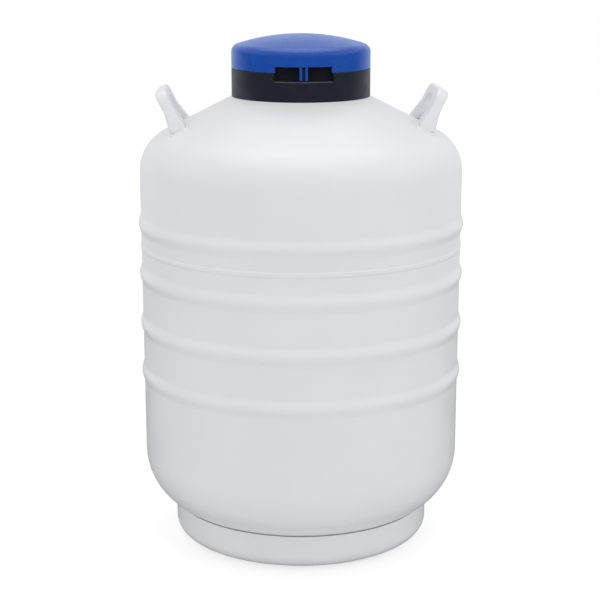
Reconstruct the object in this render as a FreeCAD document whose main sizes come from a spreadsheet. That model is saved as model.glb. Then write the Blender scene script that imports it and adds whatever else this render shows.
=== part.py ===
import FreeCAD, Part
import os
import re
import Sketcher
from FreeCAD import Placement, Rotation, Vector

# Liquid nitrogen dewar with a 30 litre class vessel and six hanging canisters.
# Millimetres, +Z up. The origin is the centre of the floor ring on the floor, and
# the lock window of the collar faces -Y.

# Driving sizes. Heights are above the floor, and radii are from the vessel's axis.
SIZES = {
    # Outer can. The shoulder level is where the cone meets the collar.
    "body_radius": 225.0,
    "shell_wall": 2.0,
    "bottom_level": 42.0,
    "bowl_radius": 88.0,
    "shoulder_level": 633.8,
    "cone_slope": 0.5056,
    "shoulder_radius": 59.2,
    # Rolled beads and the weld that joins the two halves of the can
    "rib_drop": 174.1,
    "rib_pitch": 71.0,
    "rib_width": 20.0,
    "rib_rise": 3.4,
    "rib_blend": 10.0,
    "seam_drop": 32.2,
    "seam_width": 7.5,
    "seam_crown": 1.1,
    # Floor ring
    "ring_inset": 42.5,
    "ring_wall": 3.0,
    "ring_corner_level": 11.0,
    "ring_corner_radius": 20.0,
    "foot_inset": 25.5,
    "foot_width": 12.0,
    # Carrying handles, measured square to the shoulder cone
    "handle_inset": 55.4,
    "handle_rise": 53.6,
    "handle_foot_width": 138.0,
    "handle_top_width": 98.0,
    "handle_corner": 18.0,
    "grip_gap_foot": 74.0,
    "grip_gap_top": 54.0,
    "grip_gap_rise": 38.0,
    "grip_gap_corner": 13.0,
    "handle_top_thickness": 17.0,
    "handle_waist_thickness": 15.0,
    "handle_foot_thickness": 23.0,
    "handle_waist_rise": 26.0,
    "handle_edge": 4.0,
    "handle_root": 16.0,
    # Neck
    "neck_bore": 40.0,
    "neck_wall": 2.0,
    "neck_rise": 30.2,
    "neck_length": 210.0,
    "flange_stem_width": 22.0,
    "flange_depth": 24.0,
    "flange_gap": 0.5,
    "flange_thickness": 7.0,
    # Inner vessel, its insulation and its adsorbent
    "vacuum_space": 35.0,
    "vessel_clearance": 58.0,
    "vessel_wall": 2.0,
    "vessel_knuckle": 60.0,
    "vessel_seam_rise": 180.0,
    "vessel_roof_rise": 44.0,
    "roof_blend": 50.0,
    "inner_ring_width": 18.0,
    "inner_ring_drop": 8.0,
    "inner_ring_rise": 16.0,
    "weld_width": 5.0,
    "weld_crown": 0.8,
    "blanket_thickness": 18.0,
    "blanket_gap": 0.3,
    "tray_radius": 110.0,
    "tray_depth": 14.0,
    "tray_wall": 1.5,
    # Vacuum port in the middle of the outer bottom
    "port_radius": 16.0,
    "port_bore": 9.0,
    "port_step": 1.0,
    "port_drop": 20.0,
    "port_lip_width": 5.0,
    "port_rise": 6.0,
    "port_plug_sink": 2.0,
    "port_plug_length": 15.0,
    "seal_groove_depth": 2.0,
    "seal_groove_width": 3.0,
    "seal_slack": 0.5,
    "plug_fit": 0.15,
    "port_cap_wall": 2.0,
    "port_cap_drop": 4.0,
    "port_cap_overlap": 12.0,
    # Index ring that holds the canister hooks
    "index_width": 15.0,
    "index_rise": 12.0,
    "index_slot_room": 0.8,
    "index_slot_sink": 0.4,
    # Canisters and the bottom spider that keeps them apart
    "canister_count": 6,
    "canister_neck_gap": 8.5,
    "canister_space": 7.0,
    "canister_wall": 0.8,
    "canister_rise": 120.0,
    "canister_clearance": 8.0,
    "rod_radius": 2.0,
    "rod_gap": 0.1,
    "rod_foot_rise": 42.0,
    "rod_bend": 4.0,
    "hook_overhang": 9.0,
    "hook_drop": 5.0,
    "rest_gap": 0.3,
    "spider_hub_radius": 16.0,
    "spider_sheet": 2.5,
    "spider_gap": 2.0,
    "spider_rise": 30.0,
    # Lock collar round the neck
    "collar_wall": 3.5,
    "skirt_gap": 0.2,
    "cap_line_rise": 8.3,
    "deck_gap": 3.0,
    "spigot_gap": 2.2,
    "spigot_wall": 3.0,
    "spigot_rise": 20.0,
    "screw_count": 6,
    "screw_radius": 2.5,
    "screw_head_radius": 4.6,
    "screw_head_rise": 3.0,
    "screw_depth": 6.0,
    "screw_fit": 0.1,
    "socket_width_share": 0.8,
    "socket_depth_share": 0.6,
    # Lock window with its padlock eyes
    "window_width": 78.0,
    "window_sink": 2.9,
    "window_space": 12.0,
    "window_depth": 22.0,
    "window_wall": 3.0,
    "window_bevel": 1.2,
    "cap_window_inset": 1.25,
    "cap_window_rise": 8.2,
    "lock_eye_radius": 4.0,
    "lock_eye_rise": 10.4,
    "lock_eye_depth": 13.2,
    "tongue_thickness": 2.4,
    "tongue_depth": 19.0,
    "tongue_rise": 16.9,
    "lug_thickness": 3.4,
    "lug_gap": 4.0,
    "lug_lift": 1.6,
    "lug_depth": 5.0,
    "lug_setback": 0.8,
    # Cap and neck plug
    "cap_gap": 0.3,
    "cap_rise": 30.0,
    "cap_dome": 16.1,
    "cap_gate_radius": 3.0,
    "cap_corner": 11.5,
    "cap_wall": 3.5,
    "rim_edge": 0.5,
    "boss_radius": 6.0,
    "boss_offset": 8.5,
    "boss_rise": 4.7,
    "plate_lip": 16.5,
    "plate_thickness": 3.5,
    "plug_neck_gap": 6.5,
    "plug_skin": 1.2,
    "plug_depth": 164.0,
    "plug_foot_thickness": 3.0,
    "plug_screw_count": 4,
    "plug_screw_radius": 2.0,
    "plug_screw_head": 3.8,
    "plug_screw_rise": 2.5,
    "plug_screw_grip": 6.0,
    "plug_screw_room": 0.5,
    # How far a cutter runs past the metal, and a joined piece into it
    "overrun": 1.0,
}

# Places and widths that follow from the driving sizes, so that pieces stay together
# when one of them changes.
FOLLOWS = {
    # Radii, from the can inwards and from the neck's bore outwards
    "ring_radius": "body_radius - ring_inset",
    "foot_radius": "ring_radius - foot_inset",
    "handle_radius": "body_radius - handle_inset",
    "vessel_radius": "body_radius - vacuum_space",
    "spider_reach": "vessel_radius - vessel_knuckle - spider_gap",
    "flange_stem_radius": "neck_bore + flange_stem_width",
    "index_radius": "neck_bore + index_width",
    "deck_bore": "index_radius + deck_gap",
    "inner_ring_radius": "neck_bore + neck_wall + inner_ring_width",
    "screw_circle_radius": "flange_stem_radius + screw_radius",
    "window_back": "flange_stem_radius + window_space",
    "collar_radius": "window_back + window_depth",
    "spigot_radius": "collar_radius - collar_wall - spigot_gap",
    "cap_window_width": "window_width - 2 * cap_window_inset",
    "lock_eye_reach": "window_back + lock_eye_depth",
    "tongue_reach": "window_back + tongue_depth",
    "lug_back": "window_back + lug_depth",
    "plug_radius": "neck_bore - plug_neck_gap",
    "plate_radius": "plug_radius + plate_lip",
    "boss_circle_radius": "plug_radius + boss_offset",
    "port_lip_radius": "port_radius + port_lip_width",
    "canister_radius": "neck_bore - canister_neck_gap",
    "canister_pitch_radius": "2 * canister_radius + canister_space",
    "index_slot": "2 * rod_radius + index_slot_room",
    "index_slot_depth": "2 * rod_radius + index_slot_sink",
    "hook_reach": "index_width + hook_overhang",
    # Levels, from the shoulder up and down
    "rib_top_level": "shoulder_level - rib_drop",
    "seam_level": "rib_top_level - seam_drop",
    "neck_top_level": "shoulder_level + neck_rise",
    "flange_foot_level": "neck_top_level - flange_depth",
    "vessel_roof_level": "neck_top_level - neck_length",
    "vessel_shoulder_level": "vessel_roof_level - vessel_roof_rise",
    "neck_foot_level": "vessel_roof_level - vessel_wall",
    "inner_ring_foot_level": "vessel_roof_level - inner_ring_drop",
    "inner_ring_top_level": "vessel_roof_level + inner_ring_rise",
    "cap_line_level": "neck_top_level + cap_line_rise",
    "spigot_top_level": "neck_top_level + spigot_rise",
    "window_floor_level": "neck_top_level - window_sink",
    "lock_eye_level": "window_floor_level + lock_eye_rise",
    "tongue_top_level": "window_floor_level + tongue_rise",
    "lug_foot_level": "window_floor_level + lug_lift",
    "cap_window_level": "cap_line_level + cap_window_rise",
    "cap_shoulder_level": "cap_line_level + cap_rise",
    "boss_foot_level": "cap_shoulder_level + boss_rise",
    "plug_foot_level": "neck_top_level - plug_depth",
    # Levels, from the bottom up and down
    "vessel_bottom_level": "bottom_level + vessel_clearance",
    "vessel_seam_level": "vessel_bottom_level + vessel_seam_rise",
    "port_end_level": "bottom_level - port_drop",
    "port_top_level": "bottom_level + port_rise",
    "port_cap_level": "port_end_level - port_cap_drop",
    "canister_foot_level": "vessel_bottom_level + canister_clearance",
    "rod_foot_level": "canister_foot_level + rod_foot_rise",
}

# Names for lengths that several pieces share, spelled from the sizes.
CONE_AT_COLLAR = "shoulder_level"
NECK_OUTSIDE = "(neck_bore + neck_wall)"
BOWL_CENTRE = "(bottom_level + bowl_radius)"
CAP_FOOT = "(cap_line_level + cap_gap)"
FLANGE_OUTSIDE = "(window_back - window_wall - flange_gap)"
PORT_OUTSIDE = "(port_radius - port_step)"

doc = FreeCAD.newDocument("Dewar")
sheet = doc.addObject("Spreadsheet::Sheet", "Sizes")
CELLS = SIZES | {name: "=" + rule for name, rule in FOLLOWS.items()}
for row, (name, content) in enumerate(CELLS.items(), start=1):
    sheet.set("A%d" % row, name)
    sheet.set("B%d" % row, str(content))
    sheet.setAlias("B%d" % row, name)
doc.recompute()

pieces = []


# Reading and binding sizes

def bound(text):
    """Put the sheet's name in front of every size in an expression."""
    return re.sub(r"[a-z_]+", lambda word: "Sizes." + word[0] if word[0] in CELLS else word[0], text)


def number(text):
    """Work an expression out with the sheet's present values."""
    filled = re.sub(r"[a-z_]+", lambda word: repr(sheet.get(word[0])) if word[0] in CELLS else word[0], text)
    return FreeCAD.Units.Quantity(filled).Value


def cone_level(radius):
    """Height of the shoulder cone's outside at a radius."""
    return "(%s + (collar_radius - %s) * cone_slope)" % (CONE_AT_COLLAR, radius)


def bowl_level(radius):
    """Height of the bottom bowl's outside at a radius."""
    run = "(%s - body_radius + bowl_radius)" % radius
    return "(%s - sqrt(bowl_radius ^ 2 - %s ^ 2))" % (BOWL_CENTRE, run)


def roof_level(radius):
    """Height of the inner vessel's roof at a radius."""
    slope = "(vessel_roof_level - vessel_shoulder_level) / (vessel_radius - inner_ring_radius)"
    return "(vessel_shoulder_level + (vessel_radius - %s) * %s)" % (radius, slope)


def bow_radius(half_chord, rise):
    """Radius of the arc over a chord with a given rise."""
    return "((%s ^ 2 + %s ^ 2) / (2 * %s))" % (half_chord, rise, rise)


# Bodies, sketches and features

def new_body(label):
    body = doc.addObject("PartDesign::Body", label)
    body.Label = label
    pieces.append(body)
    return body


def new_sketch(body, name, plane="XZ_Plane", offset=None):
    """A sketch on one of the body's own origin planes, moved along its normal."""
    sketch = body.newObject("Sketcher::SketchObject", body.Name + "_" + name)
    role = [item for item in body.Origin.OriginFeatures if item.Role == plane][0]
    sketch.AttachmentSupport = [(role, "")]
    sketch.MapMode = "FlatFace"
    if offset:
        sketch.setExpression(".AttachmentOffset.Base.z", bound(offset))
    return sketch


def fix_point(sketch, curve, end, place):
    """Tie one end of a curve to its two coordinates."""
    for kind, text in zip(("DistanceX", "DistanceY"), place):
        rule = sketch.addConstraint(Sketcher.Constraint(kind, -1, 1, curve, end, number(text)))
        sketch.setExpression("Constraints[%d]" % rule, bound(text))


def outline(sketch, corners):
    """Closed outline through corners given as (across, up) or (across, up, bend).

    A corner with a bend is reached along an arc of that radius. The arc turns left
    when the bend is positive and right when it starts with a minus sign.
    """
    first = len(sketch.Geometry)
    for before, corner in zip([corners[-1]] + corners[:-1], corners):
        start = Vector(number(before[0]), number(before[1]), 0)
        end = Vector(number(corner[0]), number(corner[1]), 0)
        if len(corner) == 2:
            sketch.addGeometry(Part.LineSegment(start, end))
            continue
        bend = number(corner[2])
        run = end - start
        sink = abs(bend) - (bend ** 2 - run.Length ** 2 / 4) ** 0.5
        left = Vector(-run.y, run.x, 0).normalize()
        middle = (start + end) / 2 - left * sink * (1 if bend > 0 else -1)
        curve = sketch.addGeometry(Part.Arc(start, middle, end))
        size = sketch.addConstraint(Sketcher.Constraint("Radius", curve, abs(bend)))
        sketch.setExpression("Constraints[%d]" % size, bound(corner[2].lstrip("-")))
    for place, corner in enumerate(corners):
        following = corners[(place + 1) % len(corners)]
        curve = first + place
        after = first + (place + 1) % len(corners)
        last = 1 if turns_right(corner) else 2
        start = 2 if turns_right(following) else 1
        sketch.addConstraint(Sketcher.Constraint("Coincident", curve, last, after, start))
        fix_point(sketch, curve, last, corner[:2])


def turns_right(corner):
    """True where a right-hand arc leads to a corner. Its ends are stored the other way round."""
    return len(corner) == 3 and number(corner[2]) < 0


def circle(sketch, across, up, radius):
    centre = Vector(number(across), number(up), 0)
    curve = sketch.addGeometry(Part.Circle(centre, Vector(0, 0, 1), number(radius)))
    fix_point(sketch, curve, 3, (across, up))
    size = sketch.addConstraint(Sketcher.Constraint("Radius", curve, number(radius)))
    sketch.setExpression("Constraints[%d]" % size, bound(radius))


def box_outline(low_x, high_x, low_y, high_y):
    return [(low_x, low_y), (high_x, low_y), (high_x, high_y), (low_x, high_y)]


def turn(body, name, corners, kind="Revolution"):
    """Turn an outline round the vessel's axis, as metal or as a cut."""
    sketch = new_sketch(body, name + "_outline")
    outline(sketch, corners)
    feature = body.newObject("PartDesign::" + kind, body.Name + "_" + name)
    feature.Profile = sketch
    feature.ReferenceAxis = (sketch, ["V_Axis"])
    feature.Angle = 360
    doc.recompute()
    return feature


def pad(body, name, sketch, length, both_ways=False):
    feature = body.newObject("PartDesign::Pad", body.Name + "_" + name)
    feature.Profile = sketch
    feature.Midplane = both_ways
    feature.setExpression("Length", bound(length))
    doc.recompute()
    return feature


def pocket(body, name, sketch, length, both_ways=False, upward=False):
    """A cut along the sketch's normal when upward, or against it."""
    feature = body.newObject("PartDesign::Pocket", body.Name + "_" + name)
    feature.Profile = sketch
    feature.Midplane = both_ways
    feature.Reversed = upward
    feature.setExpression("Length", bound(length))
    before = feature.BaseFeature.Shape.Volume
    doc.recompute()
    if feature.Shape.Volume > before - 0.01:
        raise RuntimeError("%s cuts nothing" % feature.Name)
    return feature


def round_edges(body, name, size, wanted, kind="Fillet"):
    """Round or bevel every edge of the body's last feature that the test picks."""
    base = body.Tip
    edges = ["Edge%d" % (place + 1) for place, edge in enumerate(base.Shape.Edges) if wanted(edge)]
    if not edges:
        raise RuntimeError("%s_%s finds no edge" % (body.Name, name))
    feature = body.newObject("PartDesign::" + kind, body.Name + "_" + name)
    feature.Base = (base, edges)
    feature.setExpression("Radius" if kind == "Fillet" else "Size", bound(size))
    doc.recompute()
    return feature


def around(body, name, features, count, spin_about):
    """Repeat features evenly round the axis."""
    feature = body.newObject("PartDesign::PolarPattern", body.Name + "_" + name)
    feature.Originals = features
    feature.Axis = (spin_about, ["N_Axis"])
    feature.Angle = 360
    feature.setExpression("Occurrences", bound(count))
    body.Tip = feature
    doc.recompute()
    return feature


def ring_edge(*places):
    """A test for full circles round the axis at the given (radius, height) places."""
    spots = [(number(radius), number(height)) for radius, height in places]

    def wanted(edge):
        if edge.Degenerated or not isinstance(edge.Curve, Part.Circle):
            return False
        found = (edge.Curve.Radius, edge.Curve.Center.z)
        return any(abs(found[0] - spot[0]) < 0.05 and abs(found[1] - spot[1]) < 0.05 for spot in spots)

    return wanted


def outer_edge(body_radius, wanted):
    """A test for edges on a round wall whose middle passes a second test."""
    radius = number(body_radius)

    def on_wall(edge):
        if edge.Degenerated:
            return False
        first, last = edge.ParameterRange
        spots = [edge.valueAt(first + (last - first) * share) for share in (0, 0.5, 1)]
        distances = [(spot.x ** 2 + spot.y ** 2) ** 0.5 for spot in spots]
        return all(abs(distance - radius) < 0.01 for distance in distances) and wanted(spots[1])

    return on_wall


# Outer can

def roll_rib(body, name, level):
    """One rolled bead: the sheet bulges out, and is hollow behind."""
    low = "(%s - rib_width / 2)" % level
    high = "(%s + rib_width / 2)" % level
    inside = "(body_radius - shell_wall)"
    bow = bow_radius("(rib_width / 2)", "rib_rise")
    turn(body, name, [
        ("body_radius - shell_wall / 2", low),
        ("body_radius", low),
        ("body_radius", high, bow),
        ("body_radius - shell_wall / 2", high)])
    turn(body, name + "_hollow", [
        (inside + " - overrun", low),
        (inside, low),
        (inside, high, bow),
        (inside + " - overrun", high)], kind="Groove")
    round_edges(body, name + "_blend", "rib_blend", ring_edge(("body_radius", low), ("body_radius", high)))


def make_upper_shell():
    body = new_body("upper_shell")
    foot = "(seam_level + seam_width / 2)"
    drop = "(shell_wall * sqrt(1 + cone_slope ^ 2))"
    inside = "(body_radius - shell_wall)"
    turn(body, "wall", [
        ("body_radius", foot),
        ("body_radius", cone_level("body_radius")),
        ("flange_stem_radius", cone_level("flange_stem_radius")),
        ("flange_stem_radius", cone_level("flange_stem_radius") + " - " + drop),
        (inside, cone_level(inside) + " - " + drop),
        (inside, foot)])
    round_edges(body, "shoulder", "shoulder_radius", ring_edge(("body_radius", cone_level("body_radius"))))
    round_edges(body, "shoulder_inside", "shoulder_radius - shell_wall",
                ring_edge((inside, cone_level(inside) + " - " + drop)))
    roll_rib(body, "rib", "rib_top_level")


def make_lower_shell():
    body = new_body("lower_shell")
    head = "(seam_level - seam_width / 2)"
    inside = "(body_radius - shell_wall)"
    turn(body, "wall", [
        ("port_radius", "bottom_level"),
        ("body_radius", "bottom_level"),
        ("body_radius", head),
        (inside, head),
        (inside, "bottom_level + shell_wall"),
        ("port_radius", "bottom_level + shell_wall")])
    round_edges(body, "bowl", "bowl_radius", ring_edge(("body_radius", "bottom_level")))
    round_edges(body, "bowl_inside", "bowl_radius - shell_wall",
                ring_edge((inside, "bottom_level + shell_wall")))
    for step in (1, 2, 3):
        roll_rib(body, "rib_%s" % "abc"[step - 1], "(rib_top_level - %d * rib_pitch)" % step)


def make_girth_weld():
    body = new_body("girth_weld")
    low = "(seam_level - seam_width / 2)"
    high = "(seam_level + seam_width / 2)"
    turn(body, "bead", [
        ("body_radius - shell_wall", low),
        ("body_radius", low),
        ("body_radius", high, bow_radius("(seam_width / 2)", "seam_crown")),
        ("body_radius - shell_wall", high)])


def make_base_ring():
    """Spun floor ring: it meets the bowl at the top and stands on a flat foot."""
    body = new_body("base_ring")
    inside = "(ring_radius - ring_wall)"
    lift = "(ring_wall * sqrt(1 + (ring_corner_level / (ring_radius - foot_radius)) ^ 2))"
    turn(body, "wall", [
        ("ring_radius", "ring_corner_level"),
        ("ring_radius", bowl_level("ring_radius")),
        (inside, bowl_level(inside), "-bowl_radius"),
        (inside, "ring_corner_level + " + lift),
        ("foot_radius", "ring_wall"),
        ("foot_radius - foot_width", "ring_wall"),
        ("foot_radius - foot_width", "0"),
        ("foot_radius", "0")])
    round_edges(body, "corner", "ring_corner_radius", ring_edge(("ring_radius", "ring_corner_level")))
    round_edges(body, "corner_inside", "ring_corner_radius - ring_wall",
                ring_edge((inside, "ring_corner_level + " + lift)))


# Handles

def handle_outline(body, name, foot, top, rise):
    sketch = new_sketch(body, name, "YZ_Plane")
    outline(sketch, [
        ("-%s / 2" % foot, "-handle_root"),
        ("%s / 2" % foot, "-handle_root"),
        ("%s / 2" % top, rise),
        ("-%s / 2" % top, rise)])
    return sketch


def make_handle(label, side):
    """Cast loop handle, upright in its own frame, leaned with the cone and trimmed to it."""
    body = doc.addObject("PartDesign::Body", label + "_casting")
    blank = handle_outline(body, "arch", "handle_foot_width", "handle_top_width", "handle_rise")
    pad(body, "arch_pad", blank, "handle_foot_thickness", both_ways=True)
    opening = handle_outline(body, "opening", "grip_gap_foot", "grip_gap_top", "grip_gap_rise")
    pocket(body, "grip_gap", opening, "2 * handle_foot_thickness", both_ways=True)
    waist = new_sketch(body, "waist")
    for sign in ("", "-"):
        outline(waist, [
            (sign + "handle_foot_thickness / 2", "0"),
            (sign + "handle_foot_thickness", "0"),
            (sign + "handle_foot_thickness", "handle_rise + overrun"),
            (sign + "handle_top_thickness / 2", "handle_rise + overrun"),
            (sign + "handle_waist_thickness / 2", "handle_waist_rise")])
    pocket(body, "waist_cut", waist, "2 * handle_foot_width", both_ways=True)

    def crosswise(height):
        """A test for edges that run through the casting at a height."""
        def wanted(edge):
            first, last = edge.Vertexes[0], edge.Vertexes[-1]
            level = max(abs(first.Z - number(height)), abs(last.Z - number(height)))
            return level < 0.01 and abs(first.Y - last.Y) < 0.01
        return wanted

    round_edges(body, "shoulders", "handle_corner", crosswise("handle_rise"))
    round_edges(body, "gap_corners", "grip_gap_corner", crosswise("grip_gap_rise"))

    def on_a_side(edge):
        """True for the edges that a hand meets, not for those at the root or across the waist."""
        spots = [edge.valueAt(edge.FirstParameter), edge.valueAt(edge.LastParameter)]
        waist_half = number("handle_waist_thickness / 2") - 0.01
        across = any(abs(spot.y - spots[0].y) > 0.5 or abs(spot.z - spots[0].z) > 0.5 for spot in spots)
        along_root = all(spot.z < -number("handle_root") + 0.01 for spot in spots)
        level = abs(spots[0].z - spots[1].z) < 0.01 and abs(spots[0].z) < number("handle_waist_rise") + 0.01
        return across and not along_root and not level and all(abs(spot.x) > waist_half for spot in spots)

    round_edges(body, "edges", "handle_edge", on_a_side)
    body.Placement = Placement(Vector(), Rotation(Vector(0, side, 0), 1))
    body.setExpression(".Placement.Base.x", "%d * Sizes.handle_radius" % side)
    body.setExpression(".Placement.Base.z", bound(cone_level("handle_radius")))
    body.setExpression(".Placement.Rotation.Angle", "atan(Sizes.cone_slope)")

    shoulder = doc.addObject("Part::Cone", label + "_shoulder")
    shoulder.setExpression("Radius1", bound("body_radius"))
    shoulder.setExpression("Radius2", bound("flange_stem_radius"))
    shoulder.setExpression("Height", bound("(body_radius - flange_stem_radius) * cone_slope"))
    shoulder.setExpression(".Placement.Base.z", bound(cone_level("body_radius")))
    handle = doc.addObject("Part::Cut", label)
    handle.Label = label
    handle.Base = body
    handle.Tool = shoulder
    doc.recompute()
    pieces.append(handle)


# Neck

def make_neck():
    flange = new_body("neck_flange")
    under = "(neck_top_level - flange_thickness)"
    turn(flange, "ring", [
        (NECK_OUTSIDE, "flange_foot_level"),
        ("flange_stem_radius", "flange_foot_level"),
        ("flange_stem_radius", under),
        (FLANGE_OUTSIDE, under),
        (FLANGE_OUTSIDE, "neck_top_level"),
        (NECK_OUTSIDE, "neck_top_level")])
    holes = new_sketch(flange, "tapping", "XY_Plane", "neck_top_level")
    circle(holes, "screw_circle_radius", "0", "screw_radius + screw_fit")
    tapped = pocket(flange, "tapped_hole", holes, "flange_thickness")
    around(flange, "tapped_holes", [tapped], "screw_count", holes)

    tube = new_body("neck_tube")
    turn(tube, "wall", box_outline("neck_bore", NECK_OUTSIDE, "neck_foot_level", "neck_top_level"))

    ring = new_body("inner_neck_ring")
    turn(ring, "ring", box_outline(NECK_OUTSIDE, "inner_ring_radius", "inner_ring_foot_level",
                                   "inner_ring_top_level"))


def make_index_ring():
    """Ring on the neck's mouth, with a slot for each canister's hook."""
    body = new_body("index_ring")
    top = "(neck_top_level + index_rise)"
    turn(body, "ring", box_outline("neck_bore", "index_radius", "neck_top_level", top))
    slot = new_sketch(body, "slot", "XY_Plane", top)
    outline(slot, box_outline("neck_bore / 2", "index_radius + overrun", "-index_slot / 2", "index_slot / 2"))
    cut = pocket(body, "hook_slot", slot, "index_slot_depth")
    around(body, "hook_slots", [cut], "canister_count", slot)
    body.Placement = Placement(Vector(), Rotation(Vector(0, 0, 1), 0))
    body.setExpression(".Placement.Rotation.Angle", "180 deg / Sizes.canister_count")


# Inner vessel

def make_inner_vessel():
    inside = "(vessel_radius - vessel_wall)"
    low_seam = "(vessel_seam_level - weld_width / 2)"
    high_seam = "(vessel_seam_level + weld_width / 2)"
    floor = "(vessel_bottom_level + vessel_wall)"

    bottom = new_body("inner_vessel_bottom")
    turn(bottom, "wall", [
        ("0", "vessel_bottom_level"),
        ("vessel_radius", "vessel_bottom_level"),
        ("vessel_radius", low_seam),
        (inside, low_seam),
        (inside, floor),
        ("0", floor)])
    round_edges(bottom, "knuckle", "vessel_knuckle", ring_edge(("vessel_radius", "vessel_bottom_level")))
    round_edges(bottom, "knuckle_inside", "vessel_knuckle - vessel_wall", ring_edge((inside, floor)))

    top = new_body("inner_vessel_top")
    turn(top, "wall", [
        ("vessel_radius", high_seam),
        ("vessel_radius", "vessel_shoulder_level"),
        ("inner_ring_radius", "vessel_roof_level"),
        ("inner_ring_radius", "vessel_roof_level - vessel_wall"),
        (inside, roof_level(inside) + " - vessel_wall"),
        (inside, high_seam)])
    round_edges(top, "shoulder", "roof_blend", ring_edge(("vessel_radius", "vessel_shoulder_level")))
    round_edges(top, "shoulder_inside", "roof_blend - vessel_wall",
                ring_edge((inside, roof_level(inside) + " - vessel_wall")))

    weld = new_body("inner_vessel_weld")
    turn(weld, "bead", [
        (inside, low_seam),
        ("vessel_radius", low_seam),
        ("vessel_radius", high_seam, bow_radius("(weld_width / 2)", "weld_crown")),
        (inside, high_seam)])


def make_insulation():
    """Wrapped blanket that follows the inner vessel and steps out over the adsorbent tray."""
    body = new_body("insulation_blanket")
    near = "(vessel_radius + weld_crown + blanket_gap)"
    far = "(%s + blanket_thickness)" % near
    floor = "(vessel_bottom_level - blanket_gap)"
    tray_floor = "(vessel_bottom_level - tray_depth - blanket_gap)"
    shoulder = "(vessel_shoulder_level + blanket_gap)"
    mouth = "(inner_ring_radius + blanket_gap)"
    turn(body, "wrap", [
        ("0", tray_floor + " - blanket_thickness"),
        (far, tray_floor + " - blanket_thickness"),
        (far, shoulder + " + blanket_thickness"),
        (mouth, "vessel_roof_level + blanket_thickness"),
        (mouth, "vessel_roof_level + 2 * blanket_gap"),
        (near, shoulder),
        (near, floor),
        ("tray_radius + tray_depth", floor),
        ("tray_radius + blanket_gap", tray_floor),
        ("0", tray_floor)])
    round_edges(body, "outer_knuckle", "vessel_knuckle + blanket_thickness",
                ring_edge((far, tray_floor + " - blanket_thickness")))
    round_edges(body, "inner_knuckle", "vessel_knuckle", ring_edge((near, floor)))
    round_edges(body, "outer_shoulder", "roof_blend + blanket_thickness",
                ring_edge((far, shoulder + " + blanket_thickness")))
    round_edges(body, "inner_shoulder", "roof_blend", ring_edge((near, shoulder)))


def make_adsorbent():
    """Shallow tray of adsorbent under the cold vessel, which keeps the vacuum."""
    tray = new_body("adsorbent_tray")
    floor = "(vessel_bottom_level - tray_depth)"
    inside = "(tray_radius - tray_wall)"
    turn(tray, "pan", [
        ("0", floor),
        ("tray_radius", floor),
        ("tray_radius", "vessel_bottom_level"),
        (inside, "vessel_bottom_level"),
        (inside, floor + " + tray_wall"),
        ("0", floor + " + tray_wall")])
    charge = new_body("adsorbent_charge")
    turn(charge, "fill", box_outline("0", inside, floor + " + tray_wall", "vessel_bottom_level"))


# Vacuum port

def make_vacuum_port():
    port = new_body("vacuum_port")
    seat = "(bottom_level - shell_wall)"
    turn(port, "stub", [
        ("port_bore", "port_end_level"),
        (PORT_OUTSIDE, "port_end_level"),
        (PORT_OUTSIDE, seat),
        ("port_lip_radius", seat),
        ("port_lip_radius", "bottom_level"),
        ("port_radius", "bottom_level"),
        ("port_radius", "port_top_level"),
        ("port_bore", "port_top_level")])

    plug = new_body("port_plug")
    shank = "(port_bore - plug_fit)"
    groove = "(port_bore - seal_groove_depth)"
    foot = "(port_end_level + port_plug_sink)"
    head = "(%s + port_plug_length)" % foot
    groove_foot = "(%s + port_plug_length / 2 - seal_groove_width / 2)" % foot
    groove_head = "(%s + seal_groove_width)" % groove_foot
    turn(plug, "plug", [
        ("0", foot),
        (shank, foot),
        (shank, groove_foot),
        (groove, groove_foot),
        (groove, groove_head),
        (shank, groove_head),
        (shank, head),
        ("0", head)])

    seal = new_body("port_seal")
    turn(seal, "ring", box_outline(groove, "port_bore", groove_foot + " + seal_slack",
                                   groove_head + " - seal_slack"))

    cover = new_body("port_cap")
    sleeve = "(%s + plug_fit)" % PORT_OUTSIDE
    rim = "(port_end_level + port_cap_overlap)"
    turn(cover, "cup", [
        ("0", "port_cap_level"),
        (sleeve + " + port_cap_wall", "port_cap_level"),
        (sleeve + " + port_cap_wall", rim),
        (sleeve, rim),
        (sleeve, "port_cap_level + port_cap_wall"),
        ("0", "port_cap_level + port_cap_wall")])


# Canisters

def canister_place(body, turn_text, radius, level):
    """Put a body on the canister circle, its X axis pointing away from the vessel's axis."""
    angle = "((%s) * 360 deg / Sizes.canister_count)" % turn_text
    body.Placement = Placement(Vector(), Rotation(Vector(0, 0, 1), 0))
    body.setExpression(".Placement.Base.x", "%s * cos%s" % (bound(radius), angle))
    body.setExpression(".Placement.Base.y", "%s * sin%s" % (bound(radius), angle))
    body.setExpression(".Placement.Base.z", bound(level))
    body.setExpression(".Placement.Rotation.Angle", angle)


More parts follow.
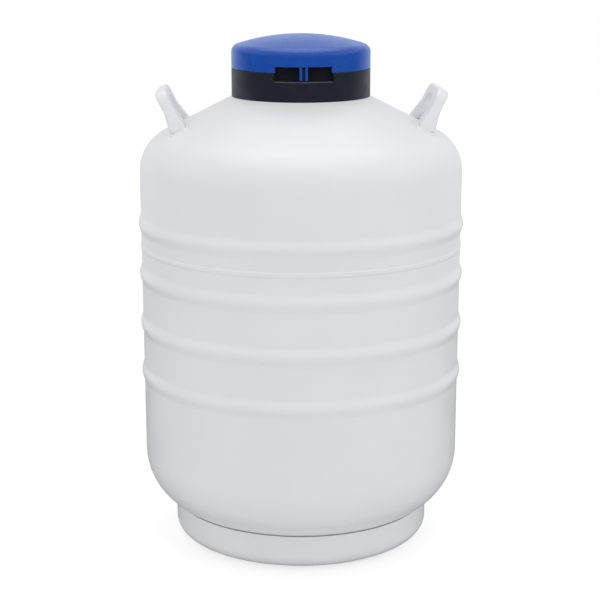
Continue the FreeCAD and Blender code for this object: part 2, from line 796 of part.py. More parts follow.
def make_canister(place):
    turn_text = "%d + 0.5" % place
    can = new_body("canister_%d" % (place + 1))
    turn(can, "cup", [
        ("0", "0"),
        ("canister_radius", "0"),
        ("canister_radius", "canister_rise"),
        ("canister_radius - canister_wall", "canister_rise"),
        ("canister_radius - canister_wall", "canister_wall"),
        ("0", "canister_wall")])
    canister_place(can, turn_text, "canister_pitch_radius", "canister_foot_level")

    rod = new_body("lifting_rod_%d" % (place + 1))
    rest = "(neck_top_level + index_rise - index_slot_depth + rest_gap + rod_radius)"
    rise = "(%s - rod_foot_level)" % rest
    route = new_sketch(rod, "route")
    stops = [
        ("0", "0"),
        ("0", rise + " - rod_bend"),
        ("rod_bend", rise, "rod_bend"),
        ("hook_reach - rod_bend", rise),
        ("hook_reach", rise + " - rod_bend", "rod_bend"),
        ("hook_reach", rise + " - hook_drop")]
    open_path(route, stops)
    section = new_sketch(rod, "section", "XY_Plane")
    circle(section, "0", "0", "rod_radius")
    pipe = rod.newObject("PartDesign::AdditivePipe", rod.Name + "_bar")
    pipe.Profile = section
    pipe.Spine = route
    doc.recompute()
    canister_place(rod, turn_text, "(canister_pitch_radius - canister_radius - rod_radius - rod_gap)",
                   "rod_foot_level")


def open_path(sketch, stops):
    """Lines and right-hand arcs through the stops, tied end to end.

    An arc's ends are stored the other way round.
    """
    last_end = None
    for before, stop in zip(stops, stops[1:]):
        start = Vector(number(before[0]), number(before[1]), 0)
        end = Vector(number(stop[0]), number(stop[1]), 0)
        if len(stop) == 2:
            curve = sketch.addGeometry(Part.LineSegment(start, end))
            near_end, far_end = 1, 2
        else:
            radius = number(stop[2])
            corner = Vector(start.x if end.y > start.y else end.x, max(start.y, end.y), 0)
            centre = start + end - corner
            middle = centre + (corner - centre).normalize() * radius
            curve = sketch.addGeometry(Part.Arc(start, middle, end))
            size = sketch.addConstraint(Sketcher.Constraint("Radius", curve, radius))
            sketch.setExpression("Constraints[%d]" % size, bound(stop[2]))
            near_end, far_end = 2, 1
        if last_end:
            sketch.addConstraint(Sketcher.Constraint("Coincident", curve - 1, last_end, curve, near_end))
        else:
            fix_point(sketch, curve, near_end, before[:2])
        fix_point(sketch, curve, far_end, stop[:2])
        last_end = far_end


def make_spider():
    """Star of sheet on the vessel's floor, with an arm between each pair of canisters."""
    body = new_body("canister_spider")
    floor = "(vessel_bottom_level + vessel_wall)"
    turn(body, "hub", box_outline("spider_hub_radius - spider_sheet", "spider_hub_radius", floor,
                                  floor + " + spider_rise"))
    arm = new_sketch(body, "arm", "XY_Plane", floor)
    outline(arm, box_outline("spider_hub_radius - spider_sheet / 2", "spider_reach",
                             "-spider_sheet / 2", "spider_sheet / 2"))
    blade = pad(body, "blade", arm, "spider_rise")
    around(body, "blades", [blade], "canister_count", arm)


# Lock collar

def make_collar():
    body = new_body("lock_collar")
    inside = "(collar_radius - collar_wall)"
    deck = "(neck_top_level + collar_wall)"
    spigot_inside = "(spigot_radius - spigot_wall)"
    turn(body, "ring", [
        ("collar_radius", CONE_AT_COLLAR + " + skirt_gap"),
        ("collar_radius", "cap_line_level"),
        (inside, "cap_line_level"),
        (inside, deck),
        ("spigot_radius", deck),
        ("spigot_radius", "spigot_top_level"),
        (spigot_inside, "spigot_top_level"),
        (spigot_inside, deck),
        ("deck_bore", deck),
        ("deck_bore", "neck_top_level"),
        (inside, "neck_top_level"),
        (inside, cone_level(inside) + " + skirt_gap")])

    # A box-shaped recess for the padlock, walled at the sides and at the back
    floor = "(window_floor_level - window_wall)"
    half = "(window_width / 2 + window_wall)"
    bands = (("recess_foot", floor, "cap_line_level", "(collar_radius - collar_wall / 2)"),
             ("recess_head", "cap_line_level", "spigot_top_level", "spigot_radius"))
    for name, low, high, reach in bands:
        sketch = new_sketch(body, name + "_plan", "XY_Plane", low)
        corner = "-sqrt(%s ^ 2 - %s ^ 2)" % (reach, half)
        outline(sketch, [
            ("-" + half, corner),
            (half, corner, reach),
            (half, "-window_back + window_wall"),
            ("-" + half, "-window_back + window_wall")])
        pad(body, name, sketch, "%s - %s" % (high, low))
    opening = new_sketch(body, "window_plan", "XY_Plane", "window_floor_level")
    outline(opening, box_outline("-window_width / 2", "window_width / 2", "-collar_radius - overrun",
                                 "-window_back"))
    pocket(body, "window", opening, "spigot_top_level - window_floor_level + overrun", upward=True)
    round_edges(body, "window_bevel", "window_bevel", outer_edge(
        "collar_radius", lambda spot: spot.y < 0 and abs(spot.x) < number("window_width / 2") + 0.01
        and spot.z < number("cap_line_level") - 0.01 and spot.z > number(CONE_AT_COLLAR) + number("overrun")),
        kind="Chamfer")
    round_edges(body, "rim", "rim_edge", outer_edge(
        "collar_radius", lambda spot: abs(spot.z - number("cap_line_level")) < 0.01))

    # The tongue stands in the recess and carries the middle padlock eye
    tongue = new_sketch(body, "tongue_side", "YZ_Plane")
    outline(tongue, box_outline("-tongue_reach", "-window_back + overrun", "window_floor_level - overrun",
                                "tongue_top_level"))
    pad(body, "tongue", tongue, "tongue_thickness", both_ways=True)
    eye = new_sketch(body, "tongue_eye", "YZ_Plane")
    circle(eye, "-lock_eye_reach", "lock_eye_level", "lock_eye_radius")
    pocket(body, "eye", eye, "3 * tongue_thickness", both_ways=True)

    holes = new_sketch(body, "screw_plan", "XY_Plane", deck)
    circle(holes, "screw_circle_radius", "0", "screw_radius + screw_fit")
    hole = pocket(body, "screw_hole", holes, "collar_wall")
    around(body, "screw_holes", [hole], "screw_count", holes)

    make_screws("collar_screws", "screw_count", "screw_circle_radius", "screw_radius", "screw_head_radius",
                "screw_head_rise", deck, "(collar_wall + screw_depth)", heads_up=True)


def make_screws(label, count, circle_radius, radius, head, head_rise, seat, length, heads_up):
    """Round-headed socket screws in a ring, each a separate solid."""
    body = new_body(label)
    body.AllowCompound = True
    parts = []
    stages = (("head", head, head_rise, heads_up), ("shank", radius, length, not heads_up))
    for name, size, depth, up in stages:
        sketch = new_sketch(body, name + "_plan", "XY_Plane", seat)
        circle(sketch, circle_radius, "0", size)
        feature = pad(body, name, sketch, depth)
        feature.Reversed = not up
        doc.recompute()
        parts.append(feature)
    tip = "(%s %s %s)" % (seat, "+" if heads_up else "-", head_rise)
    socket = new_sketch(body, "socket_plan", "XY_Plane", tip)
    circle(socket, circle_radius, "0", radius + " * socket_width_share")
    parts.append(pocket(body, "socket", socket, head_rise + " * socket_depth_share", upward=not heads_up))
    around(body, "ring_of_screws", parts, count, socket)


# Lid

def make_cap():
    body = new_body("cap")
    inside = "(collar_radius - cap_wall)"
    dome = bow_radius("collar_radius", "cap_dome")
    crown = "(cap_shoulder_level + cap_dome)"
    turn(body, "shell", [
        ("collar_radius", CAP_FOOT),
        ("collar_radius", "cap_shoulder_level"),
        ("cap_gate_radius", crown, dome),
        ("0", crown),
        ("0", crown + " - cap_wall"),
        ("cap_gate_radius", crown + " - cap_wall"),
        (inside, "cap_shoulder_level - cap_wall", "-" + bow_radius(inside, "cap_dome")),
        (inside, CAP_FOOT)])
    round_edges(body, "corner", "cap_corner", ring_edge(("collar_radius", "cap_shoulder_level")))
    round_edges(body, "corner_inside", "cap_corner - cap_wall",
                ring_edge((inside, "cap_shoulder_level - cap_wall")))

    bosses = new_sketch(body, "boss_plan", "XY_Plane", "boss_foot_level")
    circle(bosses, "boss_circle_radius", "0", "boss_radius")
    boss_drop = "boss_circle_radius ^ 2 / (2 * %s)" % dome
    boss = pad(body, "boss", bosses, "%s - cap_wall / 2 - %s - boss_foot_level" % (crown, boss_drop))
    around(body, "bosses", [boss], "plug_screw_count", bosses)
    drill = new_sketch(body, "boss_hole_plan", "XY_Plane", "boss_foot_level")
    circle(drill, "boss_circle_radius", "0", "plug_screw_radius + screw_fit")
    hole = pocket(body, "boss_hole", drill, "plug_screw_grip + plug_screw_room", upward=True)
    around(body, "boss_holes", [hole], "plug_screw_count", drill)

    window = new_sketch(body, "window_plan", "XY_Plane", CAP_FOOT + " - overrun")
    outline(window, box_outline("-cap_window_width / 2", "cap_window_width / 2", "-collar_radius - overrun",
                                "-window_back"))
    pocket(body, "window", window, "cap_window_level - %s + overrun" % CAP_FOOT, upward=True)
    round_edges(body, "rim", "rim_edge", outer_edge(
        "collar_radius", lambda spot: spot.z < number("cap_window_level") + 0.01))

    # Two lugs hang beside the collar's tongue, in line with the skirt
    for side in ("-", ""):
        name = "lug_" + ("left" if side else "right")
        near = "%slug_gap / 2" % side
        far = "%s(lug_gap / 2 + lug_thickness)" % side
        plan = new_sketch(body, name + "_plan", "XY_Plane", "lug_foot_level")
        reach = "(collar_radius - lug_setback)"
        front = ["-sqrt(%s ^ 2 - (%s) ^ 2)" % (reach, edge) for edge in (near, far)]
        bend = reach if not side else "-" + reach
        outline(plan, [
            (near, front[0]),
            (far, front[1], bend),
            (far, "-lug_back"),
            (near, "-lug_back")])
        pad(body, name, plan, "cap_shoulder_level - cap_corner - lug_foot_level")
    eye = new_sketch(body, "eye_side", "YZ_Plane")
    circle(eye, "-lock_eye_reach", "lock_eye_level", "lock_eye_radius")
    pocket(body, "eye", eye, "4 * (lug_gap + lug_thickness)", both_ways=True)


def make_plug():
    """Foam plug in a thin skin, hung from the cap by a plate and four screws."""
    plate_foot = "(boss_foot_level - plate_thickness)"
    plate = new_body("plug_plate")
    turn(plate, "disc", box_outline("0", "plate_radius", plate_foot, "boss_foot_level"))
    holes = new_sketch(plate, "screw_plan", "XY_Plane", "boss_foot_level")
    circle(holes, "boss_circle_radius", "0", "plug_screw_radius + screw_fit")
    hole = pocket(plate, "screw_hole", holes, "plate_thickness")
    around(plate, "screw_holes", [hole], "plug_screw_count", holes)

    inside = "(plug_radius - plug_skin)"
    foot_top = "(plug_foot_level + plug_foot_thickness)"
    skin = new_body("plug_skin")
    turn(skin, "tube", box_outline(inside, "plug_radius", foot_top, plate_foot))
    core = new_body("plug_core")
    turn(core, "foam", box_outline("0", inside, foot_top, plate_foot))
    foot = new_body("plug_foot")
    turn(foot, "disc", box_outline("0", "plug_radius", "plug_foot_level", foot_top))
    make_screws("plug_screws", "plug_screw_count", "boss_circle_radius", "plug_screw_radius",
                "plug_screw_head", "plug_screw_rise", plate_foot, "(plate_thickness + plug_screw_grip)",
                heads_up=False)


make_upper_shell()
make_lower_shell()
make_girth_weld()
make_base_ring()
make_handle("left_handle", -1)
make_handle("right_handle", 1)
make_neck()
make_index_ring()
make_inner_vessel()
make_insulation()
make_adsorbent()
make_vacuum_port()
make_spider()
for place in range(SIZES["canister_count"]):
    make_canister(place)
make_collar()
make_cap()
make_plug()
doc.recompute()

# Nothing is written unless every feature and every piece is sound
for item in doc.Objects:
    if "Invalid" in item.State or "Error" in item.State:
        raise RuntimeError("%s failed" % item.Label)
for piece in pieces:
    if piece.Shape.isNull() or not piece.Shape.isValid():
        raise RuntimeError("%s has no sound shape" % piece.Label)

os.makedirs("parts", exist_ok=True)
for piece in pieces:
    piece.Shape.exportStep("parts/%s.step" % piece.Label)
    print("%-22s %2d solids %12.0f mm3" % (piece.Label, len(piece.Shape.Solids), piece.Shape.Volume))
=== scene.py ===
# %% [markdown]
# # A liquid nitrogen dewar
# This lesson finishes a laboratory dewar: a white enamelled aluminium can with rolled beads,
# a black collar round its neck, and a blue cap that carries a foam plug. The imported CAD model
# gives every piece its place, so the work here is the surfaces: better meshes where the eye
# rests, and a procedural material for each real finish.

# %% Load the frame
import math
import bmesh
import bpy
from mathutils import Matrix, Vector


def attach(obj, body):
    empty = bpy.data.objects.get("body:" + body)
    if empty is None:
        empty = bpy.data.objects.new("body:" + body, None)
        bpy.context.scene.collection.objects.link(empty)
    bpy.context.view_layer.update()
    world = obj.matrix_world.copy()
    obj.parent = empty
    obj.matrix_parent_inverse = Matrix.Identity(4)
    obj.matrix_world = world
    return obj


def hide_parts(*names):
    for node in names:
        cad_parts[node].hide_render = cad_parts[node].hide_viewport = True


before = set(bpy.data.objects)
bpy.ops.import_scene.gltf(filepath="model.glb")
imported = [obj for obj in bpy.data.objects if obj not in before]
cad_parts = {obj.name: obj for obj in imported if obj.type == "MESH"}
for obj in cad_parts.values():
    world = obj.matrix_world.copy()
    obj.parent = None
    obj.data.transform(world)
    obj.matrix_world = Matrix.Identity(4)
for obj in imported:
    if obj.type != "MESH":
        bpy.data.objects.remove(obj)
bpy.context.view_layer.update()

MM = 0.001

# %% [markdown]
# The camera comes first, so that every later choice is judged through it. A long lens, nearly
# 93 mm on a 36 mm sensor, stands a little over two metres away and looks down by 14 degrees.
# The object is turned a little to its left in the picture, which here is the camera stepping
# round it by the same angle. A small vertical shift sets the crop.

# %% Camera
LENS_MM = 92.7
CAMERA_PITCH = 14.28
CAMERA_TURN = -2.3
CAMERA_DISTANCE = 2.1545
CAMERA_RISE = 0.8563
SENSOR_MM = 36
CROP_SHIFT = 0.0386
SIDE_SHIFT = -0.0015

turn = math.radians(CAMERA_TURN)
camera = bpy.data.objects.new("photo_camera", bpy.data.cameras.new("photo_camera"))
camera.data.lens = LENS_MM
camera.data.sensor_width = SENSOR_MM
camera.data.shift_x = SIDE_SHIFT
camera.data.shift_y = CROP_SHIFT
camera.location = (CAMERA_DISTANCE * math.sin(turn), -CAMERA_DISTANCE * math.cos(turn), CAMERA_RISE)
camera.rotation_euler = (math.radians(90 - CAMERA_PITCH), 0, turn)
bpy.context.scene.collection.objects.link(camera)
bpy.context.scene.camera = camera
print("camera", [round(value, 3) for value in camera.location])

# %% [markdown]
# Every material below is a small tree of nodes. One helper adds a node: settings are given by
# name, and an input is either a plain value or a socket to link from. A second helper turns a
# colour written as a hex code, as a painter would read it off a chart, into Blender's linear
# values.

# %% Helpers for materials
def linear(hex_code):
    """An sRGB hex colour as a linear RGBA tuple."""
    channels = [int(hex_code[place:place + 2], 16) / 255 for place in (1, 3, 5)]
    return tuple(c / 12.92 if c <= 0.04045 else ((c + 0.055) / 1.055) ** 2.4 for c in channels) + (1.0,)


def add_node(tree, kind, inputs=None, **settings):
    """Add one node with its settings, then set or link its inputs."""
    made = tree.nodes.new(kind)
    for name, value in settings.items():
        setattr(made, name, value)
    for name, value in (inputs or {}).items():
        if isinstance(value, bpy.types.NodeSocket):
            tree.links.new(value, made.inputs[name])
        else:
            made.inputs[name].default_value = value
    return made


def new_material(name, roughness, metallic=0.0, ior=None, coat=0.0):
    """A material, its tree and Principled shader, and Object coordinates to draw patterns on."""
    material = bpy.data.materials.new(name)
    material.use_nodes = True
    tree = material.node_tree
    shader = tree.nodes["Principled BSDF"]
    shader.inputs["Roughness"].default_value = roughness
    shader.inputs["Metallic"].default_value = metallic
    if ior:
        shader.inputs["IOR"].default_value = ior
    shader.inputs["Coat Weight"].default_value = coat
    place = add_node(tree, "ShaderNodeTexCoord").outputs["Object"]
    return material, tree, shader, place


def speckle(tree, place, size_mm, detail=2.0, stretch=(1, 1, 1)):
    """Soft noise whose blotches are about size_mm across."""
    spread = add_node(tree, "ShaderNodeMapping", {"Vector": place, "Scale": stretch})
    return add_node(tree, "ShaderNodeTexNoise",
                    {"Vector": spread.outputs["Vector"], "Scale": 1 / (size_mm * MM), "Detail": detail,
                     "Roughness": 0.5}).outputs["Fac"]


# A Mix node set to colour takes its two colours at sockets 6 and 7, and gives the blend at 2.
COLOUR_A, COLOUR_B, COLOUR_OUT = 6, 7, 2


def two_tones(tree, factor, first, second):
    """Blend from the first colour to the second. Each is a hex code or a socket."""
    first, second = [linear(tone) if isinstance(tone, str) else tone for tone in (first, second)]
    blend = add_node(tree, "ShaderNodeMix", {0: factor, COLOUR_A: first, COLOUR_B: second},
                     data_type="RGBA")
    return blend.outputs[COLOUR_OUT]


def spread_value(tree, factor, low, high):
    return add_node(tree, "ShaderNodeMapRange",
                    {"Value": factor, "From Min": 0.3, "From Max": 0.7, "To Min": low, "To Max": high}
                    ).outputs["Result"]


def relief(tree, height, depth_mm, under=None):
    """A bump whose full height is depth_mm, laid over another bump if there is one."""
    inputs = {"Height": height, "Distance": depth_mm * MM, "Strength": 1.0}
    if under:
        inputs["Normal"] = under
    return add_node(tree, "ShaderNodeBump", inputs).outputs["Normal"]


# %% [markdown]
# ** Satin enamel on spun aluminium.** The can, the floor ring and the handles are sprayed white
# after welding and baked. Sprayed enamel is never quite flat: it dries with a faint orange
# peel, here 2.5 mm from crest to crest and a few micrometres high, over the very slight
# waviness of hand-spun sheet. The white is a touch cool, and its gloss wanders a little, and a
# few grey specks of dust lie on it. Shade is painted into the tight creases where pieces meet:
# the paint is greyer wherever it is nearly shut in by something within five millimetres.

# %% White enamel
CREASE_REACH_MM = 5


def make_white_enamel():
    material, tree, shader, place = new_material("satin_white_enamel", roughness=0.36, ior=1.5, coat=0.15)
    clouds = speckle(tree, place, 90, detail=3)
    tint = two_tones(tree, clouds, "#E6E8ED", "#EDEEF1")
    dust = speckle(tree, place, 4, detail=6)
    specks = add_node(tree, "ShaderNodeMapRange", {"Value": dust, "From Min": 0.72, "From Max": 0.80,
                                                   "To Min": 0.0, "To Max": 0.10}).outputs["Result"]
    soiled = two_tones(tree, specks, tint, "#B9BBBE")
    # Painted shade: the colour darkens where ambient occlusion finds something within five millimetres, in
    # the creases where pieces meet.
    openness = add_node(tree, "ShaderNodeAmbientOcclusion", {"Distance": CREASE_REACH_MM * MM},
                        samples=8).outputs["AO"]
    painted_crease_shade = add_node(tree, "ShaderNodeMapRange", {"Value": openness, "From Min": 0.12, "From Max": 0.42,
                                                  "To Min": 0.6, "To Max": 0.0}).outputs["Result"]
    specked_and_crease_shaded = two_tones(tree, painted_crease_shade, soiled, "#85878F")
    tree.links.new(specked_and_crease_shaded, shader.inputs["Base Color"])
    tree.links.new(spread_value(tree, speckle(tree, place, 40), 0.32, 0.42), shader.inputs["Roughness"])
    waves = relief(tree, speckle(tree, place, 70, detail=1), 0.25)
    peel = relief(tree, speckle(tree, place, 2.5, detail=1), 0.012, waves)
    tree.links.new(peel, shader.inputs["Normal"])
    shader.inputs["Coat Roughness"].default_value = 0.2
    return material


white_enamel = make_white_enamel()

# %% [markdown]
# **Moulded plastics.** The collar is black ABS and the cap is blue ABS, both with the fine
# even grain of a spark-eroded mould, about 0.6 mm across. Handling leaves a faint haze of fine
# scuffs on both, which is drawn as sheen: it pales the edges that turn away from the eye, and
# the faces that look at it stay deep in colour. The white plug plate and the index ring are
# machined polyethylene, softer and waxier.

# %% Plastics
FLOW_MM = 35
HAZE_ROUGHNESS = 0.35


def make_moulded_plastic(name, deep, light, roughness, haze=0.0, haze_colour="#FFFFFF", grain_mm=0.6,
                         grain_micron=6):
    """Satin moulded plastic. Haze is the weight of the sheen that pales it at a low angle."""
    material, tree, shader, place = new_material(name, roughness=roughness, ior=1.5)
    shader.inputs["Sheen Weight"].default_value = haze
    shader.inputs["Sheen Roughness"].default_value = HAZE_ROUGHNESS
    shader.inputs["Sheen Tint"].default_value = linear(haze_colour)
    flow = speckle(tree, place, FLOW_MM, detail=2, stretch=(1, 1, 0.4))
    tree.links.new(two_tones(tree, flow, deep, light), shader.inputs["Base Color"])
    tree.links.new(spread_value(tree, speckle(tree, place, 12), roughness - 0.04, roughness + 0.05),
                   shader.inputs["Roughness"])
    grain = relief(tree, speckle(tree, place, grain_mm, detail=2), grain_micron / 1000)
    tree.links.new(grain, shader.inputs["Normal"])
    return material


blue_abs = make_moulded_plastic("blue_moulded_abs", "#0045A2", "#0451B8", 0.25,
                                haze=0.45, haze_colour="#55A2FF", grain_micron=3)
black_abs = make_moulded_plastic("black_moulded_abs", "#131827", "#1B2032", 0.42,
                                 haze=0.05, haze_colour="#8FA4E0")
white_polyethylene = make_moulded_plastic("white_machined_polyethylene", "#DAD8D0", "#E6E4DC", 0.5,
                                          grain_mm=1.5)
shadow_rubber = make_moulded_plastic("black_nitrile_rubber", "#101112", "#18191A", 0.7)

# %% [markdown]
# **Metals.** The inner vessel, the flanges and the canisters are spun or turned aluminium.
# A turning tool leaves fine rings round the axis, so the noise is stretched: long round the
# piece and short along it. The rods and screws are stainless steel, drawn and lightly
# polished. A metal has no base reflection to set, so its IOR stays at the default.

# %% Metals
def make_turned_metal(name, deep, light, roughness, ring_mm):
    material, tree, shader, place = new_material(name, roughness=roughness, metallic=1.0)
    rings = speckle(tree, place, ring_mm, detail=3, stretch=(0.03, 0.03, 1))
    tree.links.new(two_tones(tree, rings, deep, light), shader.inputs["Base Color"])
    tree.links.new(spread_value(tree, speckle(tree, place, 9), roughness - 0.07, roughness + 0.08),
                   shader.inputs["Roughness"])
    tree.links.new(relief(tree, rings, 0.02), shader.inputs["Normal"])
    return material


spun_aluminium = make_turned_metal("spun_aluminium", "#BFC1C3", "#D6D7D8", 0.36, 0.9)
drawn_stainless = make_turned_metal("drawn_stainless_steel", "#A9AAAC", "#C4C5C6", 0.26, 0.7)

# %% [markdown]
# **Fibre, foil and foam.** The neck tube and the plug's skin are wound glass fibre: crossing
# bands of thread under amber resin. The inner vessel is wrapped in crinkled foil, and its
# adsorbent is a bed of pale beads. The plug is buff rigid foam, full of small cells. They
# show when the cap is lifted, or when the model is opened up.

# %% Fibre, foil and foam
WINDING_ANGLE = 55
BAND_MM = 14
FOLD_MM = 11


def make_wound_fibre():
    material, tree, shader, place = new_material("wound_glass_fibre", roughness=0.42, ior=1.52, coat=0.3)
    bands = []
    for slant in (WINDING_ANGLE, -WINDING_ANGLE):
        leaned = add_node(tree, "ShaderNodeMapping",
                          {"Vector": place, "Rotation": (math.radians(slant), 0, math.radians(slant))})
        bands.append(add_node(tree, "ShaderNodeTexWave",
                              {"Vector": leaned.outputs["Vector"], "Scale": 1 / (BAND_MM * MM),
                               "Distortion": 1.5, "Detail": 2.0, "Detail Scale": 3.0},
                              bands_direction="Z").outputs["Fac"])
    weave = add_node(tree, "ShaderNodeMath", {0: bands[0], 1: bands[1]}, operation="MAXIMUM").outputs[0]
    tree.links.new(two_tones(tree, weave, "#A8956A", "#CDBF93"), shader.inputs["Base Color"])
    tree.links.new(relief(tree, weave, 0.05), shader.inputs["Normal"])
    return material


def make_crinkled_foil():
    material, tree, shader, place = new_material("crinkled_aluminised_foil", roughness=0.3, metallic=1.0)
    folds = add_node(tree, "ShaderNodeTexVoronoi", {"Vector": place, "Scale": 1 / (FOLD_MM * MM)},
                     feature="DISTANCE_TO_EDGE").outputs["Distance"]
    tree.links.new(two_tones(tree, folds, "#B7B9BC", "#E1E2E4"), shader.inputs["Base Color"])
    tree.links.new(relief(tree, folds, 1.2), shader.inputs["Normal"])
    return material


def make_cellular(name, deep, light, cell_mm, depth_mm):
    """Rigid foam or a bed of beads: rounded cells of one size."""
    material, tree, shader, place = new_material(name, roughness=0.85, ior=1.45)
    cells = add_node(tree, "ShaderNodeTexVoronoi",
                     {"Vector": place, "Scale": 1 / (cell_mm * MM)}, feature="F1").outputs["Distance"]
    tree.links.new(two_tones(tree, cells, light, deep), shader.inputs["Base Color"])
    tree.links.new(relief(tree, cells, depth_mm), shader.inputs["Normal"])
    return material


wound_fibre = make_wound_fibre()
crinkled_foil = make_crinkled_foil()
buff_foam = make_cellular("buff_rigid_foam", "#C2AE7C", "#DCCB9C", 1.2, 0.3)
pale_beads = make_cellular("pale_sieve_beads", "#A79C86", "#D3C9B4", 2.5, 1.0)
print("materials:", len(bpy.data.materials))

# %% [markdown]
# Each CAD node now takes the finish of its real piece. The list reads like a parts list, and
# a name that isn't in the frame would stop the script.

# %% Dress the CAD nodes
canisters = ["canister_%d" % place for place in range(1, 7)]
rods = ["lifting_rod_%d" % place for place in range(1, 7)]
finishes = {
    white_enamel: ["upper_shell", "lower_shell", "girth_weld", "base_ring", "left_handle", "right_handle"],
    blue_abs: ["cap"],
    black_abs: ["lock_collar"],
    white_polyethylene: ["index_ring", "plug_plate"],
    spun_aluminium: ["neck_flange", "inner_neck_ring", "inner_vessel_bottom", "inner_vessel_top",
                     "inner_vessel_weld", "adsorbent_tray", "vacuum_port", "port_cap",
                     "canister_spider"] + canisters,
    drawn_stainless: ["collar_screws", "plug_screws", "port_plug"] + rods,
    wound_fibre: ["neck_tube", "plug_skin", "plug_foot"],
    crinkled_foil: ["insulation_blanket"],
    pale_beads: ["adsorbent_charge"],
    buff_foam: ["plug_core"],
    shadow_rubber: ["port_seal"],
}
for material, names in finishes.items():
    for name in names:
        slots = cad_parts[name].data.materials
        slots.clear()
        slots.append(material)
undressed = set(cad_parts) - {name for names in finishes.values() for name in names}
print("nodes without a finish:", sorted(undressed))

# %% [markdown]
# The can is spun sheet, so its shape follows a rule: one outline turned round the axis. The
# outline is a list of corners with a rounding radius each, as on a drawing, and a function
# cuts each corner with an arc. The rolled beads are a formula: a raised cosine, 3.4 mm proud.
# Geometry Nodes then turn the outline on a lathe: a flat grid is wrapped so that its rows
# follow the outline's points and its columns go round the axis.

# %% Outlines
BODY_RADIUS = 225.0
WALL = 2.0
SEAM_LOW, SEAM_HIGH = 423.75, 431.25
BEAD_LEVELS = [246.7 + 71.0 * step for step in range(4)]
KNUCKLE_RADIUS = 59.2
BEAD_RISE = 3.4
BEAD_WIDTH = 29.0
BEAD_STEPS = 16
BOTTOM_LEVEL = 42.0
BOWL_RADIUS = 88.0
CONE_SLOPE = 0.5056
COLLAR_RADIUS, COLLAR_FOOT = 96.0, 633.8
STEM_RADIUS = 62.0
PORT_RADIUS = 16.0


def cone_level(radius):
    return COLLAR_FOOT + (COLLAR_RADIUS - radius) * CONE_SLOPE


def rounded(corners, turn_step=6):
    """Points through (radius, level, rounding) corners. An arc has steps of turn_step degrees."""
    points = []
    for place, (across, up, size) in enumerate(corners):
        corner = Vector((across, up))
        if not size:
            points.append(corner)
            continue
        back = (Vector(corners[place - 1][:2]) - corner).normalized()
        ahead = (Vector(corners[place + 1][:2]) - corner).normalized()
        half = back.angle(ahead) / 2
        centre = corner + (back + ahead).normalized() * size / math.sin(half)
        start = corner + back * size / math.tan(half) - centre
        sweep = start.angle_signed(corner + ahead * size / math.tan(half) - centre)
        steps = max(2, round(abs(math.degrees(sweep)) / turn_step))
        for step in range(steps + 1):
            points.append(centre + Matrix.Rotation(-sweep * step / steps, 2) @ start)
    return points


def beads(levels):
    """Rolled beads on the straight wall, lowest first, each a raised cosine."""
    rows = []
    for level in levels:
        for step in range(BEAD_STEPS + 1):
            share = step / BEAD_STEPS * 2 - 1
            rows.append(Vector((BODY_RADIUS + BEAD_RISE * math.cos(share * math.pi / 2) ** 2,
                                level + share * BEAD_WIDTH / 2)))
    return rows


def walled(points, wall):
    """Close an outline into sheet: back along the inside, one wall away."""
    inside = []
    for place, point in enumerate(points):
        before = points[max(place - 1, 0)]
        after = points[min(place + 1, len(points) - 1)]
        along = (after - before).normalized()
        inside.append(point + Vector((-along.y, along.x)) * wall)
    return points + inside[::-1]


upper_line = rounded([(BODY_RADIUS, SEAM_HIGH, 0),
                      (BODY_RADIUS, cone_level(BODY_RADIUS), KNUCKLE_RADIUS),
                      (STEM_RADIUS, cone_level(STEM_RADIUS), 0)])
upper_line[1:1] = beads(BEAD_LEVELS[3:])
lower_line = rounded([(PORT_RADIUS, BOTTOM_LEVEL, 0),
                      (BODY_RADIUS, BOTTOM_LEVEL, BOWL_RADIUS),
                      (BODY_RADIUS, SEAM_LOW, 0)])
lower_line[-1:-1] = beads(BEAD_LEVELS[:3])
upper_outline = walled(upper_line, WALL)
lower_outline = walled(lower_line, WALL)
print("outline points:", len(upper_outline), len(lower_outline))

# %% [markdown]
# The lathe tree reads the outline's points by number. Row r of the grid samples point r, and
# column c turns it by c steps round the axis. The first and last rows are the same point, as
# are the first and last columns, so a merge closes the skin into one solid.

# %% The lathe, in Geometry Nodes
STEPS_ROUND = 192
SHARP_ANGLE = 40


def new_tree(name, inputs):
    """An empty geometry tree with named inputs: (name, socket kind, default)."""
    tree = bpy.data.node_groups.new(name, "GeometryNodeTree")
    tree.interface.new_socket("Geometry", in_out="INPUT", socket_type="NodeSocketGeometry")
    tree.interface.new_socket("Geometry", in_out="OUTPUT", socket_type="NodeSocketGeometry")
    for label, kind, default in inputs:
        socket = tree.interface.new_socket(label, in_out="INPUT", socket_type=kind)
        if default is not None:
            socket.default_value = default
    return tree


def calculate(tree, operation, *values):
    """One Math node."""
    return add_node(tree, "ShaderNodeMath", dict(enumerate(values)), operation=operation).outputs[0]


